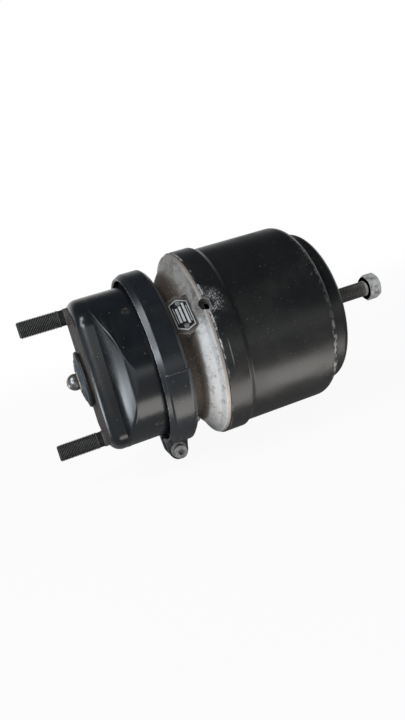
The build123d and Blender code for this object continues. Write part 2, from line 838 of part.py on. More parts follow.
def release_nut():
    """Threaded bush welded behind the floor of the recess."""
    seat = dish_floor - can_wall
    return turned(
        (seat - release_nut_flange_t, bolt_r + running),
        (seat - release_nut_flange_t, release_nut_flange_r, 0.8),
        (seat, release_nut_flange_r),
        (seat, release_nut_r),
        (dish_floor + release_nut_proud, release_nut_r, 0.6),
        (dish_floor + release_nut_proud, bolt_r + running),
    )


# ---- release bolt

def release_bolt():
    """Hexagon bolt, wound out, with the cross hole of its stop nut near the inner end."""
    head = extrude(hexagon(bolt_af), bolt_head_t)
    corner = bolt_af / sqrt(3)
    bevel = revolve(
        Plane.XZ * make_face(
            Polyline(
                (0, 0), (bolt_af / 2 - 0.3, 0), (corner + 0.2, bolt_head_chamfer),
                (corner + 0.2, bolt_head_t - bolt_head_chamfer), (bolt_af / 2 - 0.3, bolt_head_t),
                (0, bolt_head_t), close=True,
            )
        ),
        Axis.Z, 360,
    )
    head = Pos(bolt_head_x, 0, 0) * Rot(0, 90, 0) * (head & bevel)
    shank = turned(
        (bolt_end_x, 0), (bolt_end_x, bolt_r - 1), (bolt_end_x + 1, bolt_r),
        (bolt_head_x, bolt_r), (bolt_head_x, 0),
    )
    return head + shank - stop_pin_hole()


def stop_pin_hole():
    return Pos(stop_nut_x + stop_nut_t / 2, 0, 0) * Cylinder(stop_pin_r + snug, 4 * stop_nut_r)


def stop_nut():
    """Round nut on the bolt's inner end, which pulls the piston back."""
    nut = ring(stop_nut_x, stop_nut_x + stop_nut_t, bolt_r + snug, stop_nut_r)
    return nut - stop_pin_hole()


def stop_pin():
    return Pos(stop_nut_x + stop_nut_t / 2, 0, 0) * Cylinder(stop_pin_r, 2 * stop_nut_r - 1.2)


def thrust_washer():
    return ring(thrust_washer_x, thrust_washer_x + thrust_washer_t, bolt_r + loose, thrust_washer_r)


# ---- spring piston

def spring_piston():
    """Cast piston: dished plate, wall round the power spring and a guided skirt."""
    x = piston_plate_x
    back = x + piston_plate_t
    hub_x = x + piston_hub_rise
    skirt_end = piston_skirt_x + piston_skirt_length
    body = turned(
        (hub_x, tube_r + snug),
        (hub_x, piston_hub_r, 3.0),
        (x, piston_hub_r + 1.5, 3.0),
        (x, piston_wall_r, 4.0),
        (piston_skirt_x - 2, piston_wall_r),
        (piston_skirt_x, piston_r, 0.6),
        (skirt_end, piston_r, 0.6),
        (skirt_end, piston_wall_r - piston_wall_t + 1.0, 0.6),
        (back, piston_wall_r - piston_wall_t, 5.0),
        (back, piston_hub_r + 1.5 + piston_plate_t, 3.0),
        (hub_x + piston_plate_t, piston_hub_r + piston_plate_t - 1, 3.0),
        (hub_x + piston_plate_t, tube_r + snug),
    )
    for start, width in ((seal_groove_x, seal_groove_width), (guide_groove_x, guide_groove_width)):
        g = piston_skirt_x + start
        body -= ring(g, g + width, piston_r - groove_depth, piston_r + 2)
    return body


def piston_seal():
    """Lip seal, its lip turned towards the air side."""
    g = piston_skirt_x + seal_groove_x
    root = piston_r - groove_depth + snug
    lip = can_bore_r - running
    return turned(
        (g + 0.4, root),
        (g + 0.4, lip - 0.8),
        (g + 1.0, lip),
        (g + 2.4, lip),
        (g + 3.4, lip - 1.4),
        (g + seal_groove_width - 0.1, lip - 1.6),
        (g + seal_groove_width - 0.1, root),
    )


def guide_ring():
    g = piston_skirt_x + guide_groove_x
    return ring(g + snug, g + guide_groove_width - snug, piston_r - groove_depth + snug,
                can_bore_r - running)


def piston_tube():
    """Steel tube that carries the piston's push to the diaphragm and holds the bolt's end."""
    tube = ring(tube_front_x, tube_rear_x, tube_bore_r, tube_r)
    collar_x = piston_plate_x + piston_hub_rise + piston_plate_t
    return tube + ring(collar_x, tube_rear_x, tube_bore_r, tube_r + 2.5)


def tube_cap():
    """Flanged plug that closes the tube's front end and meets the diaphragm."""
    return turned(
        (dish_floor_x, 0),
        (dish_floor_x, tube_r - 0.2, 1.0),
        (tube_front_x, tube_r - 0.2),
        (tube_front_x, tube_bore_r - snug),
        (tube_front_x + tube_cap_plug, tube_bore_r - snug, 1.0),
        (tube_front_x + tube_cap_plug, 0),
    )


def tube_retainer():
    """Ring screwed into the tube, which the thrust washer pulls against."""
    return ring(retainer_x, retainer_x + retainer_t, retainer_bore_r, tube_bore_r - snug)


def power_spring():
    """Heavy spring between the piston and the end of the can, held compressed."""
    rear = dome_x + (dome_depth - can_wall) * sqrt(
        1 - ((power_rear_r + power_wire_r) / (dome_r - can_wall)) ** 2
    )
    return helix_spring(
        piston_plate_x + piston_plate_t + loose, rear - 1.5, power_front_r, power_rear_r,
        power_wire_r, power_turns,
    )


nodes = {
    "service_housing": service_housing,
    "stud_plate": stud_plate,
    "mounting_studs": mounting_studs,
    "face_seal": face_seal,
    "pushrod_gaiter": pushrod_gaiter,
    "vent_plugs": vent_plugs,
    "diaphragm": diaphragm,
    "push_plate": push_plate,
    "pushrod": pushrod,
    "dust_collar": dust_collar,
    "return_spring": return_spring,
    "clamp_band": clamp_band,
    "clamp_bolt": clamp_bolt,
    "clamp_washer": clamp_washer,
    "clamp_nut": clamp_nut,
    "flange_housing": flange_housing,
    "name_plate": name_plate,
    "plate_rivets": plate_rivets,
    "bleed_screw": bleed_screw,
    "housing_seal": housing_seal,
    "lock_wire": lock_wire,
    "tube_bush": tube_bush,
    "tube_seals": tube_seals,
    "spring_housing": spring_housing,
    "release_nut": release_nut,
    "release_bolt": release_bolt,
    "stop_nut": stop_nut,
    "stop_pin": stop_pin,
    "thrust_washer": thrust_washer,
    "spring_piston": spring_piston,
    "piston_seal": piston_seal,
    "guide_ring": guide_ring,
    "piston_tube": piston_tube,
    "tube_cap": tube_cap,
    "tube_retainer": tube_retainer,
    "power_spring": power_spring,
}

os.makedirs("parts", exist_ok=True)
for name, make in nodes.items():
    export_step(make(), f"parts/{name}.step")
    print(name)
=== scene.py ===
# %% [markdown]
# # A spring brake chamber
# Two air cylinders share one axis. The gloss-black cup in front holds a diaphragm that pushes the
# ball-ended rod, and the big satin can behind it holds the parking brake's spring. Between them
# sits an aluminium casting, a pressed band clamps it to the cup, and the long bolt winds the
# spring back. The CAD frame already has every part at its size, so this script gives the parts
# their finishes, cuts the threads, and replaces the rubber and springs that have to stretch.

# %% Load the frame
from math import cos, pi, radians, sin

import bmesh
import bpy
from mathutils import Euler, Matrix, Vector


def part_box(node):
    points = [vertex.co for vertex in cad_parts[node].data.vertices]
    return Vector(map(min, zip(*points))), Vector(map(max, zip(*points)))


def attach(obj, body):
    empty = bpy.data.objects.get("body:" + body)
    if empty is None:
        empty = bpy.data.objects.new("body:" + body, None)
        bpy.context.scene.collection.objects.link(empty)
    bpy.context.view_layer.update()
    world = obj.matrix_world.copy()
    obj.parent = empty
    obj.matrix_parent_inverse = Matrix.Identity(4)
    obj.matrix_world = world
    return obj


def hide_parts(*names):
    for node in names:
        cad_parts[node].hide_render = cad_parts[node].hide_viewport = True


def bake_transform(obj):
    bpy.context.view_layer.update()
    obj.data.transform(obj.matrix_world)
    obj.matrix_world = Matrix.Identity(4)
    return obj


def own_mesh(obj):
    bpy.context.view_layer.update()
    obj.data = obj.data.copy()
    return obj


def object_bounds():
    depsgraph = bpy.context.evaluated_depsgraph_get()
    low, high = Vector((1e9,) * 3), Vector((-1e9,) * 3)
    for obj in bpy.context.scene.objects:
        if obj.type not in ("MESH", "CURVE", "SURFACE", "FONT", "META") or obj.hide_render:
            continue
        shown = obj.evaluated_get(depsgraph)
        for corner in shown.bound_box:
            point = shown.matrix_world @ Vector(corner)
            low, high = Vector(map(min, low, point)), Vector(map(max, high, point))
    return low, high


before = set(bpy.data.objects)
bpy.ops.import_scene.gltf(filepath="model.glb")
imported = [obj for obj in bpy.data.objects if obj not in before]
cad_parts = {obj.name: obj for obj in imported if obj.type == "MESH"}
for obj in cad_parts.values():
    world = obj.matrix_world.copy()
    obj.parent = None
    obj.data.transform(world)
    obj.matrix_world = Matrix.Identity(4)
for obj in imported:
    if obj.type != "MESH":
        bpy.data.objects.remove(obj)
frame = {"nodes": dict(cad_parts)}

cad_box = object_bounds()
nodes = frame["nodes"]
mm = 0.001
print("CAD nodes:", len(nodes))

# %% [markdown]
# ## Camera
# A close camera with a short lens looks a little down and is rolled, so the axis climbs to the
# right. Its place and turn are kept in the row's frame, and nothing on the object depends on it.

# %% Camera
camera_place = Vector((-47.6, -598.4, 106.0)) * mm
camera_turn = Euler([radians(a) for a in (78.243, 15.096, -18.115)])
camera_lens = 32.0            # mm, on a 36 mm sensor along the image's long side

camera = bpy.data.objects.new("camera", bpy.data.cameras.new("camera"))
camera.location, camera.rotation_euler = camera_place, camera_turn
camera.data.lens, camera.data.sensor_width = camera_lens, 36.0
bpy.context.collection.objects.link(camera)
bpy.context.scene.camera = camera
bpy.context.scene.view_settings.view_transform = "Standard"
print("camera", tuple(round(c, 3) for c in camera_place))

# %% [markdown]
# ## Node arithmetic
# Node trees are easier to read as sums than as a web of nodes. `Wire` wraps one output socket, and
# Python's operators on it add Math nodes. `Graph` adds every other node. `Finish` is a graph that
# makes a material, and further down `Shape` is one that makes a mesh.

# %% Wires and graphs
class Wire:
    """One output socket of a graph. Arithmetic on it adds Math nodes."""

    def __init__(self, graph, socket):
        self.graph, self.socket = graph, socket

    def math(self, operation, *others, swap=False):
        values = (*others, self) if swap else (self, *others)
        return self.graph.node("ShaderNodeMath", {"operation": operation}, dict(enumerate(values)))

    def __add__(self, other): return self.math("ADD", other)
    def __sub__(self, other): return self.math("SUBTRACT", other)
    def __mul__(self, other): return self.math("MULTIPLY", other)
    def __truediv__(self, other): return self.math("DIVIDE", other)
    def __pow__(self, other): return self.math("POWER", other)
    def __rsub__(self, other): return self.math("SUBTRACT", other, swap=True)
    def __abs__(self): return self.math("ABSOLUTE")
    def __gt__(self, other): return self.math("GREATER_THAN", other)
    def __lt__(self, other): return self.math("LESS_THAN", other)
    __radd__ = __add__

    def max(self, other): return self.math("MAXIMUM", other)
    def min(self, other): return self.math("MINIMUM", other)

    def rise(self, low, high):
        """0 below low, 1 above high, and smooth between. It falls where low is the larger one."""
        return self.graph.node(
            "ShaderNodeMapRange", {"interpolation_type": "SMOOTHSTEP"},
            {"Value": self, "From Min": low, "From Max": high},
        )

    def between(self, low, high, soft):
        """1 between two values, with soft edges."""
        return self.rise(low - soft, low + soft) * self.rise(high + soft, high - soft)


class Graph:
    """A node tree, and the one method that adds nodes to it."""

    def __init__(self, tree):
        self.tree = tree
        tree.nodes.clear()

    def node(self, kind, settings=None, sockets=None, output=0):
        """Adds one node: its settings first, then the values or links of its sockets."""
        made = self.tree.nodes.new(kind)
        for key, value in (settings or {}).items():
            setattr(made, key, value)
        for key, value in (sockets or {}).items():
            if isinstance(value, Wire):
                self.tree.links.new(made.inputs[key], value.socket)
            else:
                made.inputs[key].default_value = value
        return Wire(self, made.outputs[output])

    def parts(self, vector):
        """The three numbers of a vector."""
        split = self.node("ShaderNodeSeparateXYZ", {}, {0: vector}).socket.node
        return [Wire(self, split.outputs[i]) for i in range(3)]


class Finish(Graph):
    """A procedural material in the row's own coordinates, in metres."""

    def __init__(self, name):
        self.material = bpy.data.materials.new(name)
        self.material.use_nodes = True
        super().__init__(self.material.node_tree)
        self.place = self.node("ShaderNodeTexCoord", output="Object")
        self.x, self.y, self.z = self.parts(self.place)

    def stretched(self, x=1.0, y=1.0, z=1.0, turn=(0, 0, 0)):
        """The place, squeezed or turned, for a pattern that runs one way."""
        return self.node("ShaderNodeMapping", {}, {
            "Vector": self.place, "Scale": (x, y, z), "Rotation": turn})

    def noise(self, size, detail=3.0, rough=0.55, place=None, warp=0.0):
        """Cloudy pattern from 0 to 1. size is the width of a cloud, in metres."""
        return self.node("ShaderNodeTexNoise", {}, {
            "Vector": place or self.place, "Scale": 1 / size, "Detail": detail,
            "Roughness": rough, "Distortion": warp})

    def specks(self, size, share, dot):
        """Scattered small dots: a share of the cells hold one. dot is its width in cells."""
        voronoi = self.node("ShaderNodeTexVoronoi", {}, {
            "Vector": self.place, "Scale": 1 / size}, output="Distance")
        pick = Wire(self, voronoi.socket.node.outputs["Color"])
        chance = self.node("ShaderNodeSeparateColor", {}, {0: pick})
        return voronoi.rise(dot, dot * 0.55) * (chance < share)

    def mix(self, mask, first, second):
        """Colour that goes from the first to the second as the mask goes from 0 to 1."""
        return self.node("ShaderNodeMix", {"data_type": "RGBA"}, {0: mask, 6: first, 7: second}, 2)

    def worn(self, width):
        """1 on sharp outer and inner edges, 0 on flat and gently curved faces."""
        soft = self.node("ShaderNodeBevel", {"samples": 4}, {"Radius": width})
        true = self.node("ShaderNodeNewGeometry", output="Normal")
        match = self.node("ShaderNodeVectorMath", {"operation": "DOT_PRODUCT"},
                          {0: soft, 1: true}, "Value")
        return match.rise(0.99, 0.90)

    def bump(self, height, depth):
        """Bent normals from a height map. depth is the real height in metres."""
        return self.node("ShaderNodeBump", {}, {
            "Height": height, "Distance": depth, "Strength": 1.0})

    def radius(self):
        """Distance from the cylinder's axis."""
        return (self.y * self.y + self.z * self.z) ** 0.5

    def done(self, **sockets):
        """Joins the shader to the output. Socket names are written with _ for a blank."""
        named = {key.replace("_", " "): value for key, value in sockets.items()}
        shader = self.node("ShaderNodeBsdfPrincipled", {}, named, "BSDF")
        out = self.tree.nodes.new("ShaderNodeOutputMaterial")
        self.tree.links.new(out.inputs["Surface"], shader.socket)
        return self.material


def grey(value, warmth=0.0):
    """A grey with a little more red than blue, or the reverse where warmth is negative."""
    return (value * (1 + warmth), value, value * (1 - warmth), 1.0)


print("node arithmetic ready")

# %% [markdown]
# ## Black paint
# The cup, band and can are painted steel. The cup is the glossiest and its mounting face has gone
# brown, the band is scuffed, and the can is duller and flecked. The can is chipped down to light
# metal where it was knocked: along the ridge, round the assembly hole and on the rear shoulder.
# One fine noise cuts every chip's outline, and a wider one keeps the chips in patches. A thin light
# streak across the ridge's near side is a painted highlight.

# %% Black paint
def paint(name, gloss, tint, chips_and_streak=None, edge=0.35, dust=0.5, scuffs=None, rust=None,
          flecks=0.05):
    """Black paint. The chip mask, which on the can also holds a painted highlight streak, the scuffs and
    the rust are functions from the finish to masks.
    """
    f = Finish(name)
    clouds = f.noise(30 * mm, 4.0)
    streaks = f.noise(4 * mm, 5.0, 0.6, f.stretched(1.0, 0.3, 0.3))
    grain = f.noise(0.8 * mm, 2.0)
    patches = f.noise(45 * mm, 3.0, 0.6).rise(0.42, 0.62)
    dots = f.specks(1.5 * mm, flecks, 0.24) * patches
    dots = dots.max(f.specks(2.6 * mm, 0.035 * dust, 0.17))
    film = f.noise(55 * mm, 5.0, 0.65, warp=0.6).rise(0.45, 0.75) * 0.5 * dust
    lines = f.noise(2.2 * mm, 1.0, 0.4, f.stretched(0.07, 1.0, 0.4, (0.5, 0.3, 0.6)))
    scratch = lines.rise(0.745, 0.765) * f.noise(20 * mm).rise(0.55, 0.62)
    worn = f.worn(0.7 * mm) * f.noise(5 * mm, 5.0, 0.7).rise(0.60 - 0.3 * edge, 0.80 - 0.3 * edge)
    bare = worn * min(edge * 2, 1.0)
    # On the can this mask also carries a painted highlight streak across the ridge, coloured like bare
    # metal.
    if chips_and_streak is not None:
        bare = bare.max(chips_and_streak(f))
    rubbed = scuffs(f) if scuffs is not None else 0.0
    colour = f.mix(clouds.rise(0.3, 0.7), tint, tuple(c * 1.6 for c in tint[:3]) + (1.0,))
    colour = f.mix(film, colour, grey(0.022, 0.10))
    colour = f.mix((dots * 0.75).max(scratch * 0.25), colour, grey(0.34, 0.02))
    if scuffs is not None:
        colour = f.mix(rubbed * 0.35, colour, grey(0.12, -0.06))
    colour = f.mix(bare, colour, grey(0.52, 0.0))
    if rust is not None:
        colour = f.mix(rust(f), colour, (0.030, 0.021, 0.016, 1))
    rough = gloss + clouds * 0.08 + streaks * 0.05 + film * 0.25 + dots * 0.3 + rubbed * 0.15
    rough = rough.max(bare * 0.42)
    if rust is not None:
        rough = rough.max(rust(f) * 0.85)
    peel = f.noise(6 * mm, 1.0, 0.4)
    height = peel * 0.35 + grain * 0.10 - bare * 0.6
    return f.done(Base_Color=colour, Roughness=rough, Metallic=bare * 0.5,
                  Normal=f.bump(height, 0.06 * mm), Specular_IOR_Level=0.75)


ridge_front, ridge_rear, can_rear = 107.3 * mm, 127.6 * mm, 221.6 * mm
ridge_outer = 90.0 * mm
hole_angle, hole_x = radians(29.4), 107.0 * mm
hole_centre = Vector((hole_x, -cos(hole_angle) * ridge_outer, sin(hole_angle) * ridge_outer))
worst_corner = Vector((216, -80, -34)) * mm     # where the rear shoulder was knocked most
rubbed_side = Vector((175, -84, -26)) * mm


def distance(f, point):
    """How far each place is from a point."""
    return f.node("ShaderNodeVectorMath", {"operation": "DISTANCE"},
                  {0: f.place, 1: point}, "Value")


def can_chips_and_ridge_highlight(f):
    """Chips round the hole, on the ridge and the rear shoulder, and a painted highlight streak across
    the ridge.
    """
    fine = f.noise(1.0 * mm, 6.0, 0.78)
    patch = f.noise(13 * mm, 3.0, 0.6)
    hole = distance(f, hole_centre).rise(34 * mm, 7 * mm) * patch.rise(0.26, 0.52)
    front = f.x.between(ridge_front, ridge_front + 2.2 * mm, 1.2 * mm) * patch.rise(0.34, 0.52)
    upper = front * f.z.rise(-30 * mm, 20 * mm) * 0.5
    step = f.x.between(ridge_rear - 2 * mm, ridge_rear + 5 * mm, 2 * mm) * patch.rise(0.46, 0.62)
    shoulder = f.x.between(can_rear - 9 * mm, can_rear - 1.5 * mm, 2.5 * mm)
    shoulder = shoulder * f.noise(5 * mm, 4.0, 0.7).rise(0.36, 0.56)
    low_corner = distance(f, worst_corner).rise(44 * mm, 6 * mm)
    side = distance(f, rubbed_side).rise(70 * mm, 10 * mm)
    # Painted highlight: a thin light streak across the ridge's near side, where a light's reflection
    # would run.
    scratch = f.x.between(114.5 * mm, 115.2 * mm, 0.3 * mm) * f.z.between(-11 * mm, 9 * mm, 5 * mm)
    scratch = scratch * (f.y < 0)
    zone = hole.max(front * 0.85 + upper).max(step * 0.6).max(
        shoulder * (0.82 + low_corner * 0.45)).max(side * patch.rise(0.5, 0.7) * 0.5)
    return (zone * 0.30 + fine).rise(0.79, 0.83).max(scratch * 0.4)


def face_rust(f):
    """The cup's face lost its gloss against the caliper and has gone brown."""
    face = f.x.rise(1.3 * mm, 0.3 * mm)
    return face * f.noise(4 * mm, 5.0, 0.7).rise(0.25, 0.45)


def band_scuffs(f):
    """Small dull patches all over the band."""
    return f.noise(7 * mm, 6.0, 0.75, warp=0.5).rise(0.60, 0.74)


cup_paint = paint("cup_paint", 0.15, (0.0055, 0.0072, 0.0090, 1), edge=0.12, dust=0.8,
                  rust=face_rust)
can_paint = paint("can_paint", 0.27, (0.0062, 0.0066, 0.0066, 1), chips_and_streak=can_chips_and_ridge_highlight, dust=1.3, flecks=0.12)
band_paint = paint("band_paint", 0.22, (0.008, 0.010, 0.013, 1), edge=0.7, scuffs=band_scuffs,
                   dust=0.8)
print("paints", cup_paint.name, can_paint.name, band_paint.name)

# %% [markdown]
# ## Cast aluminium
# The casting has gone grey-brown with road dirt, most of all down in the neck where nothing
# rubs it off. Near the rim it is lighter and speckled, and its machined edge is still bright.
# Its lower, near side is painted paler and less brown as painted light from below, and the
# light specks there are painted glints.

# %% Cast aluminium
casting_rim, casting_rim_inner = (104.3 * mm, 110 * mm), 86 * mm


def cast_metal(name):
    """Cast aluminium: brown in the neck, pale and speckled near the rim, bright on its edges, and
    painted paler and less brown on its lower, near side as painted light.
    """
    f = Finish(name)
    r = f.radius()
    clouds = f.noise(16 * mm, 5.0, 0.65, warp=0.5)
    grain = f.noise(0.7 * mm, 3.0, 0.6)
    sand = f.noise(1.9 * mm, 5.0, 0.75)
    blotch = f.noise(6 * mm, 5.0, 0.7)
    # Painted light: this mask makes the lower, near side paler and less brown, as if lit from below.
    low = (f.z * -0.9 - f.y * 0.35).rise(-20 * mm, 55 * mm)
    neck = (r * -1.0).rise(-79 * mm, -67 * mm)
    brown = (neck * 0.9 + clouds * 0.8 - low * 0.40).rise(0.40, 0.98)
    pale_rim_and_lit_side = (r.rise(69 * mm, 79 * mm) * (0.38 + low * 1.0) * (0.40 + clouds)).rise(0.20, 0.72)
    # The light specks are painted glints, densest where the paleness is painted strongest.
    dots = f.specks(1.7 * mm, 0.40, 0.34) * (pale_rim_and_lit_side + 0.15)
    pits = f.specks(2.4 * mm, 0.30, 0.26) * (0.45 + brown * 0.55)
    edge = f.worn(0.7 * mm)
    machined = f.x.between(*casting_rim, 0.2 * mm) * (r > casting_rim_inner)
    colour = f.mix(clouds.rise(0.35, 0.65), (0.135, 0.123, 0.110, 1), (0.27, 0.255, 0.235, 1))
    colour = f.mix(pale_rim_and_lit_side * 0.85, colour, (0.78, 0.78, 0.775, 1))
    colour = f.mix(blotch.rise(0.50, 0.68) * 0.55, colour, (0.15, 0.138, 0.125, 1))
    colour = f.mix(brown * 0.94, colour, (0.070, 0.052, 0.040, 1))
    colour = f.mix(dots, colour, (0.80, 0.82, 0.85, 1))
    colour = f.mix(pits * 0.7, colour, (0.05, 0.042, 0.036, 1))
    colour = f.mix(machined * 0.8, colour, (0.42, 0.36, 0.32, 1))
    colour = f.mix(edge * (1 - brown * 0.6) * 0.7, colour, (0.62, 0.61, 0.60, 1))
    rough = 0.50 + grain * 0.14 + brown * 0.15 - edge * 0.12 - dots * 0.1
    height = sand * 1.2 + grain * 0.5 - pits * 0.7 + dots * 0.6
    return f.done(Base_Color=colour, Roughness=rough, Metallic=0.40 - brown * 0.3,
                  Normal=f.bump(height, 0.26 * mm))


casting_metal = cast_metal("casting_metal")
print("casting", casting_metal.name)

# %% [markdown]
# ## Plain metals
# Studs are phosphated, the clamp screw is zinc plated, the release bolt is dark with a head that
# spanners have rubbed bright, and the pushrod's ball is polished by its socket. On the threads
# the crests are painted lighter than the grooves, as a painted highlight on the crests and
# painted shade in the grooves.

# %% Plain metals
def steel(name, dark, light, rough=0.35, metal=0.9, edge=0.6, dirt=0.3):
    """Metal that varies between two colours, bright on its edges and dirty in patches."""
    f = Finish(name)
    clouds = f.noise(6 * mm, 5.0, 0.6)
    fine = f.noise(0.7 * mm, 3.0, 0.6)
    worn = f.worn(0.5 * mm)
    grime = f.noise(4 * mm, 4.0, 0.7).rise(0.50, 0.72) * dirt
    colour = f.mix(clouds.rise(0.3, 0.7), dark, light)
    colour = f.mix(grime, colour, (0.05, 0.04, 0.03, 1))
    colour = f.mix(worn * edge, colour, grey(0.62, 0.02))
    roughness = rough + fine * 0.12 + grime * 0.3 - worn * 0.08
    return f.done(Base_Color=colour, Roughness=roughness, Metallic=metal - grime * 0.5,
                  Normal=f.bump(fine + clouds * 0.4, 0.03 * mm))


def thread_metal(name, root, crest_highlight_colour, low, high, axis_offset, rough, edge=0.0, rubbed_from=None):
    """Dark metal with a painted highlight on its thread crests and painted shade in its grooves.

    The crests are told by their distance from the axis, which is axis_offset above or below
    the cylinder's. From rubbed_from on along X the metal is bare and bright."""
    f = Finish(name)
    side = abs(f.z) - axis_offset
    r = (f.y * f.y + side * side) ** 0.5
    # Painted light: crests are coloured lighter and grooves darker, a painted highlight and painted
    # shade.
    crest_highlight = r.rise(low, high)
    clouds = f.noise(5 * mm, 4.0, 0.6)
    fine = f.noise(0.9 * mm, 3.0, 0.6)
    grime = f.noise(6 * mm, 4.0, 0.7).rise(0.50, 0.68)
    colour = f.mix(crest_highlight * (0.55 + clouds * 0.6), root, crest_highlight_colour)
    colour = f.mix(grime * 0.35, colour, (0.045, 0.036, 0.028, 1))
    if rubbed_from is not None:
        rubbed = f.x.rise(rubbed_from - 1 * mm, rubbed_from) * clouds.rise(0.26, 0.50)
        colour = f.mix(rubbed * 0.9, colour, grey(0.85, 0.0))
    if edge:
        colour = f.mix(f.worn(0.9 * mm) * (r > high * 1.05) * edge, colour, grey(0.70, 0.02))
    return f.done(Base_Color=colour, Roughness=rough + fine * 0.15 + grime * 0.15,
                  Metallic=0.35 - grime * 0.2, Normal=f.bump(fine, 0.02 * mm))


stud_half_pitch, bolt_head = 60.325 * mm, 304.4 * mm
stud_metal = thread_metal("stud_metal", grey(0.014), grey(0.13, 0.02), 7.3 * mm, 7.9 * mm,
                          stud_half_pitch, 0.42)
zinc_metal = steel("zinc_metal", grey(0.26, 0.03), grey(0.46, 0.02), 0.36, 0.4, 0.6, 0.35)
bolt_metal = thread_metal("bolt_metal", grey(0.085, 0.06), grey(0.20, 0.04), 7.2 * mm, 7.9 * mm,
                          0.0, 0.38, 1.0, rubbed_from=bolt_head - 2.4 * mm)
ball_metal = steel("ball_metal", grey(0.22, 0.02), grey(0.36, 0.02), 0.26, 0.9, 0.3, 0.25)
plain_metal = steel("plain_metal", grey(0.30, 0.02), grey(0.46, 0.02), 0.38, 0.9, 0.4, 0.2)
spring_metal = steel("spring_metal", grey(0.04, 0.02), grey(0.09, 0.02), 0.45, 0.6, 0.3, 0.2)
rivet_metal = steel("rivet_metal", grey(0.22, 0.02), grey(0.36, 0.0), 0.42, 0.4, 0.6, 0.6)
print("metals ready")

# %% [markdown]
# ## Rubber and plastic
# Rubber has no metal in it, and its roughness does most of the work: the face seal is nearly
# matt, the gaiter has a dull sheen and a blue tint that is a painted reflection, and the collar
# behind the ball is pale and grimy.

# %% Rubber and plastic
def soft_stuff(name, dark, light, rough, dust=0.2, cloud=7 * mm):
    f = Finish(name)
    clouds = f.noise(cloud, 4.0, 0.6)
    fine = f.noise(0.8 * mm, 3.0, 0.6)
    film = f.noise(5 * mm, 5.0, 0.7).rise(0.46, 0.7) * dust
    colour = f.mix(clouds.rise(0.3, 0.7), dark, light)
    colour = f.mix(film, colour, (0.20, 0.17, 0.13, 1))
    return f.done(Base_Color=colour, Roughness=rough + fine * 0.12 + film * 0.2,
                  Normal=f.bump(fine + clouds, 0.05 * mm), Specular_IOR_Level=0.4)


seal_rubber = soft_stuff("seal_rubber", grey(0.012), grey(0.022), 0.42)
# The gaiter's blue tint is a painted reflection of a cool light.
gaiter_rubber = soft_stuff("gaiter_rubber", (0.025, 0.034, 0.05, 1), (0.04, 0.055, 0.08, 1),
                           0.45, 0.3)
collar_plastic = soft_stuff("collar_plastic", (0.30, 0.25, 0.18, 1), (0.55, 0.49, 0.38, 1),
                            0.5, 0.7, 3 * mm)
plug_plastic = soft_stuff("plug_plastic", grey(0.012), grey(0.020), 0.38, 0.5)
bush_plastic = soft_stuff("bush_plastic", grey(0.60, 0.03), grey(0.68, 0.03), 0.45, 0.1)
print("rubber and plastic ready")

# %% [markdown]
# ## Name plate
# A stamped plate that carries no words: a bright border, a black field, and raised bright bars
# that run lengthwise. The plate's own two directions come from its place on the casting, so the
# pattern stays with it from any side.

# %% Name plate
plate_angle, plate_x = radians(32.0), 89.6 * mm
plate_half_width, plate_half_length, plate_point = 8.6 * mm, 15.4 * mm, 3.6 * mm
plate_border, plate_bar = 0.9 * mm, 1.05
plate_bars = ((-3.4, -7.4, 7.0), (0.0, -7.0, 8.4), (3.7, -9.6, 11.2))   # centre, low, high in mm
thin_bars, thin_bar_half, thin_bar_reach = (-6.0 * mm, 6.3 * mm), 0.35 * mm, 8.0 * mm


def plate_finish():
    f = Finish("plate_finish")
    across = f.x - plate_x
    along = f.y * sin(plate_angle) + f.z * cos(plate_angle)
    slope = plate_point / plate_half_width
    tip = plate_half_length - abs(across) * slope
    inside = (abs(across) < plate_half_width - plate_border) * (
        abs(along) < tip - plate_border * 1.1)
    bars = None
    for centre, low, high in plate_bars:
        one = (abs(across - centre * mm) < plate_bar * mm) * (along > low * mm)
        one = one * (along < high * mm)
        bars = one if bars is None else bars.max(one)
    left, right = (abs(across - at) < thin_bar_half for at in thin_bars)
    thin = left.max(right) * (abs(along) < thin_bar_reach)
    raised = (1 - inside).max(bars).max(thin)
    rub = f.noise(2.5 * mm, 5.0, 0.7)
    dirt = rub.rise(0.42, 0.68)
    black = f.mix(rub.rise(0.5, 0.75), grey(0.010), grey(0.04, 0.05))
    metal = f.mix(dirt * 0.5, grey(0.74, -0.02), (0.36, 0.33, 0.29, 1))
    colour = f.mix(raised, black, metal)
    return f.done(Base_Color=colour, Roughness=0.36 + dirt * 0.25,
                  Metallic=raised * 0.15, Normal=f.bump(raised + rub * 0.2, 0.15 * mm))


name_plate_finish = plate_finish()
print("plate finish ready")

# %% [markdown]
# ## Finishes onto the CAD nodes
# Every visible node keeps its CAD shape and takes one of the finishes. Hidden nodes get theirs
# too, because the part can be opened up in another scene.

# %% Finish each node
finish_of = {
    "service_housing": cup_paint, "clamp_band": band_paint, "spring_housing": can_paint,
    "flange_housing": casting_metal, "spring_piston": casting_metal,
    "name_plate": name_plate_finish, "plate_rivets": rivet_metal,
    "mounting_studs": stud_metal, "release_bolt": bolt_metal, "pushrod": ball_metal,
    "clamp_bolt": zinc_metal, "clamp_washer": zinc_metal, "clamp_nut": zinc_metal,
    "face_seal": seal_rubber, "pushrod_gaiter": gaiter_rubber, "dust_collar": collar_plastic,
    "diaphragm": seal_rubber, "housing_seal": seal_rubber, "tube_seals": seal_rubber,
    "piston_seal": seal_rubber, "vent_plugs": plug_plastic, "tube_bush": bush_plastic,
    "guide_ring": bush_plastic, "tube_cap": bush_plastic,
    "return_spring": spring_metal, "power_spring": spring_metal,
}
for name, node in nodes.items():
    node.data.materials.clear()
    node.data.materials.append(finish_of.get(name, plain_metal))
print("finished nodes:", len(nodes))

# %% [markdown]
# ## Shapes from rules
# Threads and springs follow a rule, so Geometry Nodes make them. `Shape` holds such a tree, with
# its sizes as named inputs. `make` sets the inputs, lets Blender work the tree out once, and keeps
# the result as a plain mesh, which the frame can then carry.

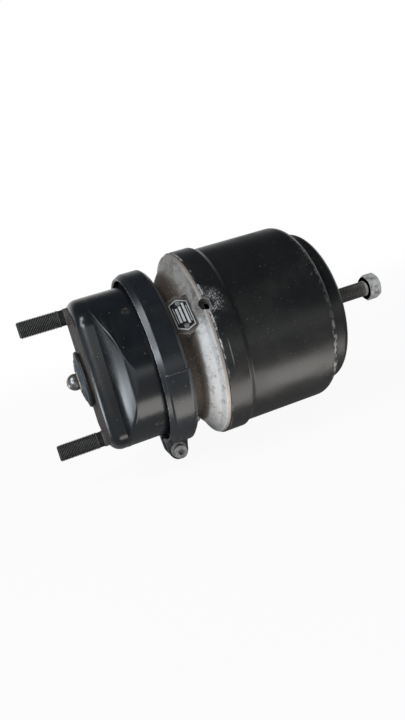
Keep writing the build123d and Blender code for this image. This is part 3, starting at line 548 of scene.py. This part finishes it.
# %% Shapes
class Shape(Graph):
    """A Geometry Nodes tree whose sizes, in metres or counts, are named inputs."""

    def __init__(self, name, **sizes):
        super().__init__(bpy.data.node_groups.new(name, "GeometryNodeTree"))
        for key, value in sizes.items():
            kind = "NodeSocketInt" if isinstance(value, int) else "NodeSocketFloat"
            self.tree.interface.new_socket(key, in_out="INPUT", socket_type=kind)
        self.tree.interface.new_socket("Mesh", in_out="OUTPUT", socket_type="NodeSocketGeometry")
        start = self.tree.nodes.new("NodeGroupInput")
        self.values = sizes
        self.size = {key: Wire(self, start.outputs[key]) for key in sizes}

    def make(self, name, geometry, material):
        """Ends the tree, runs it and returns a closed mesh object with its faces outwards."""
        real = self.node("GeometryNodeRealizeInstances", {}, {0: geometry})
        done = self.node("GeometryNodeSetMaterial", {}, {"Geometry": real, "Material": material})
        end = self.tree.nodes.new("NodeGroupOutput")
        self.tree.links.new(end.inputs[0], done.socket)
        piece = bpy.data.objects.new(name, bpy.data.meshes.new(name))
        bpy.context.collection.objects.link(piece)
        rule = piece.modifiers.new("rule", "NODES")
        rule.node_group = self.tree
        for item in self.tree.interface.items_tree:
            if item.in_out == "INPUT":
                rule[item.identifier] = self.values[item.name]
        graph = bpy.context.evaluated_depsgraph_get()
        mesh = bpy.data.meshes.new_from_object(piece.evaluated_get(graph))
        piece.modifiers.remove(rule)
        piece.data = mesh
        mesh.materials.clear()
        mesh.materials.append(material)
        tidy_mesh(mesh)
        return piece


def tidy_mesh(mesh, weld=0.001 * mm, smooth=radians(34)):
    """Merges doubles, turns faces outwards and shades gentle edges smooth."""
    work = bmesh.new()
    work.from_mesh(mesh)
    bmesh.ops.remove_doubles(work, verts=work.verts, dist=weld)
    bmesh.ops.recalc_face_normals(work, faces=work.faces)
    for edge in work.edges:
        edge.smooth = len(edge.link_faces) < 2 or edge.calc_face_angle(0) < smooth
    for face in work.faces:
        face.smooth = True
    work.to_mesh(mesh)
    work.free()


def carry(piece, body, finish_slot, *nodes):
    """Lets a finished piece ride on a body in place of CAD nodes."""
    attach(piece, body)
    if nodes:
        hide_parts(*nodes)
    print(piece.name, len(piece.data.polygons), "faces on", body)
    return piece


# %% [markdown]
# ## Threads
# A thread is a grid wrapped round a cylinder, whose radius dips in a groove that moves on by one
# pitch per turn. The groove fades out before the plain shank, and a chamfer limits the radius at
# the tip. Two filled circles close the ends.

# %% Threaded rods
def threaded_rod(name, start, length, radius, pitch, depth, chamfer, plain, relief, material,
                 rings_per_pitch=6, sides=40):
    """Rod along X from its tip at start, threaded up to the plain part at its other end."""
    s = Shape(name + "_rule", start=start, length=abs(length), radius=radius, pitch=pitch,
              depth=depth, chamfer=chamfer, plain=plain, relief=relief,
              rings=int(abs(length) / pitch * rings_per_pitch), sides=sides + 1)
    size = s.size
    grid = s.node("GeometryNodeMeshGrid", {}, {
        "Size X": size["length"], "Size Y": 1.0, "Vertices X": size["rings"],
        "Vertices Y": size["sides"]})
    x, y, _ = s.parts(s.node("GeometryNodeInputPosition"))
    along = x + size["length"] * 0.5
    turn = y + 0.5
    phase = (along / size["pitch"] - turn).math("FRACT")
    groove = abs(phase * 2.0 - 1.0).rise(0.10, 0.92)
    thread_end = size["length"] - size["plain"]
    fade = along.rise(thread_end, thread_end - size["pitch"] * 1.5)
    waist = along.rise(thread_end - 0.4 * mm, thread_end) * along.rise(
        thread_end + size["relief"], thread_end + size["relief"] - 0.8 * mm)
    r = size["radius"] - size["depth"] * groove * fade
    r = r - waist * (size["relief"] > 0.0) * size["depth"] * 0.75
    r = r.min(size["radius"] - size["chamfer"] + along)
    y_out, z_out = r * (turn * 2 * pi).math("COSINE"), r * (turn * 2 * pi).math("SINE")
    place = s.node("ShaderNodeCombineXYZ", {}, {0: size["start"] + along, 1: y_out, 2: z_out})
    wall = s.node("GeometryNodeSetPosition", {}, {"Geometry": grid, "Position": place})
    ends = []
    for at, ring in ((size["start"], size["radius"] - size["chamfer"]),
                     (size["start"] + size["length"], size["radius"])):
        disc = s.node("GeometryNodeMeshCircle", {"fill_type": "NGON"}, {
            "Vertices": size["sides"] - 1.0, "Radius": ring})
        centre = s.node("ShaderNodeCombineXYZ", {}, {0: at})
        ends.append(s.node("GeometryNodeTransform", {}, {
            "Geometry": disc, "Translation": centre, "Rotation": (0.0, pi / 2, 0.0)}))
    join = s.tree.nodes.new("GeometryNodeJoinGeometry")
    for part in (wall, *ends):
        s.tree.links.new(join.inputs[0], part.socket)
    return s.make(name, Wire(s, join.outputs[0]), material)


def kept_part(name, node, keep_beyond, material):
    """Copy of a CAD node's mesh beyond a plane across X, closed where it was cut."""
    piece = bpy.data.objects.new(name, nodes[node].data.copy())
    bpy.context.collection.objects.link(piece)
    work = bmesh.new()
    work.from_mesh(piece.data)
    bmesh.ops.remove_doubles(work, verts=work.verts, dist=0.001 * mm)
    every = work.verts[:] + work.edges[:] + work.faces[:]
    cut = bmesh.ops.bisect_plane(work, geom=every, plane_co=(keep_beyond, 0, 0),
                                 plane_no=(1, 0, 0), clear_inner=True)
    rim = [e for e in cut["geom_cut"] if isinstance(e, bmesh.types.BMEdge)]
    bmesh.ops.contextual_create(work, geom=rim)
    work.to_mesh(piece.data)
    work.free()
    piece.data.materials.clear()
    piece.data.materials.append(material)
    tidy_mesh(piece.data)
    return piece


def joined(name, *pieces):
    """One object out of several, at the origin."""
    work = bmesh.new()
    for piece in pieces:
        work.from_mesh(piece.data)
    material = pieces[0].data.materials[0]
    for piece in pieces:
        bpy.data.objects.remove(piece)
    mesh = bpy.data.meshes.new(name)
    work.to_mesh(mesh)
    work.free()
    mesh.materials.append(material)
    piece = bpy.data.objects.new(name, mesh)
    bpy.context.collection.objects.link(piece)
    return piece


thread_radius = 8.0 * mm
stud_tip, head_back = -46.0 * mm, 6.6 * mm
studs = [kept_part("stud_heads", "mounting_studs", head_back, stud_metal)]
for name, side in (("stud_top", 1), ("stud_low", -1)):
    rod = threaded_rod(name, stud_tip, head_back - stud_tip, thread_radius, pitch=1.5 * mm,
                       depth=0.85 * mm, chamfer=1.5 * mm, plain=14.1 * mm, relief=5.0 * mm,
                       material=stud_metal)
    rod.data.transform(Matrix.Translation((0, 0, side * stud_half_pitch)))
    studs.append(rod)
carry(joined("threaded_studs", *studs), "housing", "phosphated_steel", "mounting_studs")

bolt_start = 158.0 * mm
shank = threaded_rod("bolt_shank", bolt_start, bolt_head - bolt_start, thread_radius,
                     pitch=2.0 * mm, depth=0.9 * mm, chamfer=1.2 * mm, plain=4.0 * mm, relief=0.0,
                     material=bolt_metal)
head = kept_part("bolt_head", "release_bolt", bolt_head, bolt_metal)
carry(joined("threaded_release_bolt", shank, head), "release_bolt", "bolt_steel", "release_bolt")

# %% [markdown]
# ## Springs
# Both springs are round wire along a spiral. The return spring rides on the housing in place of
# the CAD spring. The power spring takes the CAD spring's place between the can's end and the
# piston, at the length the CAD gives it.

# %% Springs
def coil(name, first, last, first_r, last_r, wire, turns):
    """Round wire wound along X between two planes. wire is its radius."""
    s = Shape(name + "_rule", start=first + wire, height=last - first - 2 * wire,
              first_radius=first_r, last_radius=last_r, wire=wire, turns=turns,
              steps=36, sides=12)
    line = s.node("GeometryNodeCurveSpiral", {}, {
        "Resolution": s.size["steps"], "Rotations": s.size["turns"],
        "Start Radius": s.size["first_radius"], "End Radius": s.size["last_radius"],
        "Height": s.size["height"]})
    section = s.node("GeometryNodeCurvePrimitiveCircle", {}, {
        "Resolution": s.size["sides"], "Radius": s.size["wire"]})
    wound = s.node("GeometryNodeCurveToMesh", {}, {
        "Curve": line, "Profile Curve": section, "Fill Caps": True})
    shift = s.node("ShaderNodeCombineXYZ", {}, {0: s.size["start"]})
    laid = s.node("GeometryNodeTransform", {}, {
        "Geometry": wound, "Translation": shift, "Rotation": (0.0, pi / 2, 0.0)})
    return s.make(name, laid, spring_metal)


return_lo, return_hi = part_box("return_spring")
return_coil = coil("return_coil", return_lo.x, return_hi.x, first_r=37.6 * mm, last_r=24.0 * mm,
                   wire=2.0 * mm, turns=4.5)
carry(return_coil, "housing", "spring_steel", "return_spring")
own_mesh(return_coil)

power_lo, power_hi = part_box("power_spring")
power_coil = coil("power_coil", power_lo.x, power_hi.x, first_r=66.5 * mm, last_r=60.5 * mm,
                  wire=6.4 * mm, turns=3.5)
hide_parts("power_spring")
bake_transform(power_coil)
print("springs", len(return_coil.data.polygons), len(power_coil.data.polygons))

# %% [markdown]
# ## Gaiter and diaphragm
# The gaiter is a thin rubber cone with a few fine folds, folded nearly flat while the rod is in.
# Its outline is spun round the axis. The diaphragm keeps its CAD shape in a copy. Both take
# the place of their hidden CAD nodes where they stand.

# %% Gaiter and diaphragm
def lathe(name, outline, material, sides):
    """Closed ring-shaped mesh from an outline of (x, radius) points in order."""
    work = bmesh.new()
    rings = []
    for x, r in outline:
        rings.append([work.verts.new((x, r * cos(2 * pi * k / sides), r * sin(2 * pi * k / sides)))
                      for k in range(sides)])
    for here, there in zip(rings, rings[1:] + rings[:1]):
        for k in range(sides):
            work.faces.new((here[k], here[k - 1], there[k - 1], there[k]))
    mesh = bpy.data.meshes.new(name)
    work.to_mesh(mesh)
    work.free()
    mesh.materials.append(material)
    tidy_mesh(mesh)
    piece = bpy.data.objects.new(name, mesh)
    bpy.context.collection.objects.link(piece)
    return piece


def folded_cone(outer, inner, wall, folds, height, steps=60):
    """Outline of a thin cone from an outer to an inner (x, radius) point, with fine folds."""
    front, back = [], []
    for i in range(steps + 1):
        t = i / steps
        x, r = outer[0] + (inner[0] - outer[0]) * t, outer[1] + (inner[1] - outer[1]) * t
        wave = height * sin(2 * pi * folds * t) * sin(pi * t)
        front.append((x - wave, r))
        back.append((x - wave + wall, r))
    return front + back[::-1]


gaiter_outline = folded_cone((-5.1 * mm, 25.0 * mm), (-8.2 * mm, 12.6 * mm), wall=1.1 * mm,
                             folds=3, height=0.5 * mm)
gaiter = lathe("folded_gaiter", gaiter_outline, gaiter_rubber, sides=96)
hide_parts("pushrod_gaiter")
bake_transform(gaiter)

skin = bpy.data.objects.new("diaphragm_skin", nodes["diaphragm"].data.copy())
bpy.context.collection.objects.link(skin)
skin.data.materials.clear()
skin.data.materials.append(seal_rubber)
tidy_mesh(skin.data)
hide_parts("diaphragm")
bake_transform(skin)
print("gaiter", len(gaiter.data.polygons), "diaphragm", len(skin.data.polygons))

# %% [markdown]
# ## Name plate relief
# The plate is pressed from thin sheet, so its border and the bars in its field stand a little
# proud. They are flat bars with sloping sides, set on the plate in its own two directions.

# %% Name plate relief
plate_out = Vector((0, -cos(plate_angle), sin(plate_angle)))
plate_along = Vector((0, sin(plate_angle), cos(plate_angle)))
plate_top = 72.5 * mm


def on_plate(across, along, height):
    return (Vector((plate_x + across, 0, 0)) + plate_along * along
            + plate_out * (plate_top + height))


def raised_outline(work, corners, height, slope):
    """Low flat-topped block over a convex outline of (across, along) corners."""
    middle = Vector((sum(c[0] for c in corners), sum(c[1] for c in corners))) / len(corners)
    low = [work.verts.new(on_plate(a, b, -0.02 * mm)) for a, b in corners]
    top = []
    for a, b in corners:
        inward = (middle - Vector((a, b))).normalized() * slope
        top.append(work.verts.new(on_plate(a + inward.x, b + inward.y, height)))
    count = len(corners)
    work.faces.new(top)
    work.faces.new(low[::-1])
    for k in range(count):
        n = (k + 1) % count
        work.faces.new((low[k], low[n], top[n], top[k]))


work = bmesh.new()
for centre, low, high in plate_bars:
    raised_outline(work, [((centre + a * plate_bar) * mm, b * mm) for a, b in (
        (-1, low), (1, low), (1, high), (-1, high))], 0.25 * mm, 0.18 * mm)
hexagon = [(plate_half_width, -1), (plate_half_width, 1), (0, 2), (-plate_half_width, 1),
           (-plate_half_width, -1), (0, -2)]
shoulder = plate_half_length - plate_point
corners = [Vector((a, shoulder * b if abs(b) == 1 else plate_half_length * b / 2))
           for a, b in hexagon]
for k, corner in enumerate(corners):
    after = corners[(k + 1) % len(corners)]
    inset = plate_border / plate_half_width
    raised_outline(work, [corner * 0.985, after * 0.985, after * (1 - inset),
                          corner * (1 - inset)], 0.22 * mm, 0.1 * mm)
mesh = bpy.data.meshes.new("plate_relief")
work.to_mesh(mesh)
work.free()
mesh.materials.append(name_plate_finish)
tidy_mesh(mesh)
relief = bpy.data.objects.new("plate_relief", mesh)
bpy.context.collection.objects.link(relief)
carry(relief, "housing", "plate_aluminium")

# %% [markdown]
# ## Floor and light
# The floor and the world behind are plain white to the camera, and a share of the real floor lets
# the object's shadow show. In reflections the floor near the object is a painted shade, a dark
# grey glow. Three soft boxes and a dim room light the object at a plain level.
# Two low sheets of light lie on the floor, and the camera doesn't see them: gloss paint shows
# them as the soft streaks on the cup's side and low on the can.

# %% Floor
floor_z = cad_box[0].z - 1 * mm
floor_half = 12.0
shadow_room = 1.1             # metres to each side of the axis where the floor keeps the shadow


def backdrop_white(name, glow_near, glow_far, painted_shade_share):
    """White that stays white behind the object, and keeps a share of its shadow.

    Near the object, reflections see a painted shade in its place: a dark grey glow, mixed in by that
    share."""
    f = Finish(name)
    seen = f.node("ShaderNodeLightPath", output="Is Camera Ray")
    path = seen.socket.node
    glossy = Wire(f, path.outputs["Is Glossy Ray"])
    seen = seen.max(Wire(f, path.outputs["Is Transmission Ray"]))
    away = f.radius().rise(shadow_room * 0.25, shadow_room)
    direct = away * (glow_far - glow_near) + glow_near
    plain = f.node("ShaderNodeBsdfDiffuse", {}, {"Color": grey(0.8)}, "BSDF")
    glow = f.node("ShaderNodeEmission", {}, {"Color": grey(1.0), "Strength": 1.0})
    # Painted shade: a dark grey glow that reflections see on the floor under and beside the object.
    painted_floor_shade = f.node("ShaderNodeEmission", {}, {"Color": grey(0.14), "Strength": 1.0})
    lit = f.node("ShaderNodeMixShader", {}, {
        0: (seen * direct).max(glossy * away), 1: plain, 2: glow})
    both = f.node("ShaderNodeMixShader", {}, {0: glossy * (1 - away) * painted_shade_share, 1: lit, 2: painted_floor_shade})
    out = f.tree.nodes.new("ShaderNodeOutputMaterial")
    f.tree.links.new(out.inputs["Surface"], both.socket)
    return f.material


mesh = bpy.data.meshes.new("floor")
mesh.from_pydata([(x * floor_half, y * floor_half, floor_z)
                  for x, y in ((-1, -1), (1, -1), (1, 1), (-1, 1))], [], [(0, 1, 2, 3)])
floor = bpy.data.objects.new("floor", mesh)
floor.data.materials.append(
    backdrop_white("floor_white", glow_near=0.93, glow_far=1.0, painted_shade_share=0.8))
bpy.context.collection.objects.link(floor)
print("floor at", round(floor_z, 4))

# %% Lights
def soft_box(name, place, size, power, colour, seen=True):
    """Area light that faces the middle of the object. Places and sizes are in metres."""
    data = bpy.data.lights.new(name, "AREA")
    data.shape, data.size, data.size_y = "RECTANGLE", *size
    data.energy, data.color = power, colour
    box = bpy.data.objects.new(name, data)
    box.location = place
    box.rotation_euler = (aim - Vector(place)).to_track_quat("-Z", "Y").to_euler()
    box.visible_camera = seen
    bpy.context.collection.objects.link(box)
    return box


aim = (cad_box[0] + cad_box[1]) / 2
cool, plain_white, warm = (0.84, 0.92, 1.0), (1.0, 1.0, 1.0), (1.0, 0.96, 0.91)
soft_box("window", (-1.3, -0.9, 0.75), (0.35, 1.1), 9.0, cool)
soft_box("strip", (-0.78, -0.94, 0.21), (0.22, 0.34), 3.6, cool)
soft_box("overhead", (-0.75, -0.5, 1.35), (0.6, 0.6), 7.5, plain_white)
sheet_z = floor_z + 2 * mm
side_sheet = soft_box("side_sheet", (-0.36, 0.115, sheet_z), (0.32, 0.16), 0.85, cool, seen=False)
ground_sheet = soft_box("ground_sheet", (0.13, -0.110, sheet_z), (0.30, 0.06), 0.13, warm,
                        seen=False)
side_sheet.rotation_euler = ground_sheet.rotation_euler = (pi, 0, 0)

world = bpy.data.worlds.new("studio")
bpy.context.scene.world = world
world.use_nodes = True
sky = Graph(world.node_tree)
path = sky.node("ShaderNodeLightPath", output="Is Camera Ray")
seen = path.max(Wire(sky, path.socket.node.outputs["Is Transmission Ray"]))
glossy = Wire(sky, path.socket.node.outputs["Is Glossy Ray"])
across, back, up = sky.parts(sky.node("ShaderNodeTexCoord", output="Generated"))
backdrop = back.rise(0.15, 0.55) * up.rise(0.6, 0.1)        # the part that stands behind
white_share = seen.max(glossy * backdrop)
room = sky.node("ShaderNodeBackground", {}, {"Color": grey(0.30), "Strength": 1.0})
dark = sky.node("ShaderNodeBackground", {}, {"Color": (0.050, 0.056, 0.064, 1), "Strength": 1.0})
white = sky.node("ShaderNodeBackground", {}, {"Color": grey(1.0), "Strength": 1.0})
lit = sky.node("ShaderNodeMixShader", {}, {0: glossy, 1: room, 2: dark})
both = sky.node("ShaderNodeMixShader", {}, {0: white_share, 1: lit, 2: white})
out = sky.tree.nodes.new("ShaderNodeOutputWorld")
sky.tree.links.new(out.inputs["Surface"], both.socket)
print("lights and world ready")
